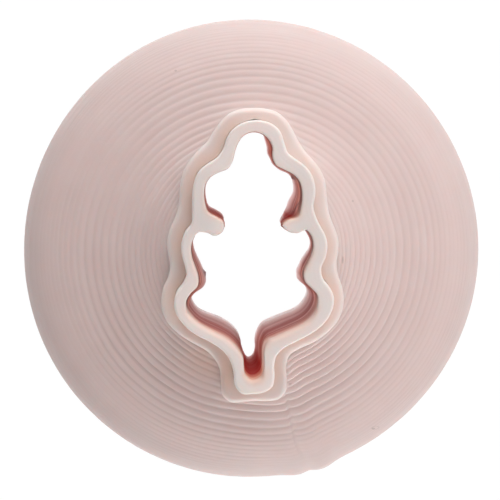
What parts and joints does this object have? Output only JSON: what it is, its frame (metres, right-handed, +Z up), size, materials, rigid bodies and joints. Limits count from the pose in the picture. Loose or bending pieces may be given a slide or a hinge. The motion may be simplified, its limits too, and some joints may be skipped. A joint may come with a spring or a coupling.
{
  "type": "leaf pastry cutter",
  "caption": "Small printed pastry cutter: round domed grip, a leaf-shaped collar pressed into its crown and a leaf-shaped cutting sleeve that lifts out, open right through.",
  "frame": {"origin": "on the dome's axis, in the flat resting face", "axes": "+Z up through the cutting rim, the leaf's stem towards -Y, +X to the right as seen from above with the stem down"},
  "size_m": [0.049, 0.049, 0.019],
  "materials": {
    "grip_plastic": "pale pink printed plastic with fine terraced layer lines, satin, slightly translucent",
    "collar_plastic": "pale pink printed plastic, smooth flat top, satin, slightly translucent",
    "blade_plastic": "pale cream pink printed plastic, smooth flat rim, fine layer lines inside, slightly translucent"
  },
  "bodies": {
    "grip": {"dome_grip": "grip_plastic", "leaf_collar": "collar_plastic"},
    "blade": {"leaf_blade": "blade_plastic"}
  },
  "joints": [
    {"name": "blade_lift", "type": "slide", "parent": "grip", "child": "blade", "axis": [0, 0, 1], "range_m": [0, 0.0125]}
  ]
}
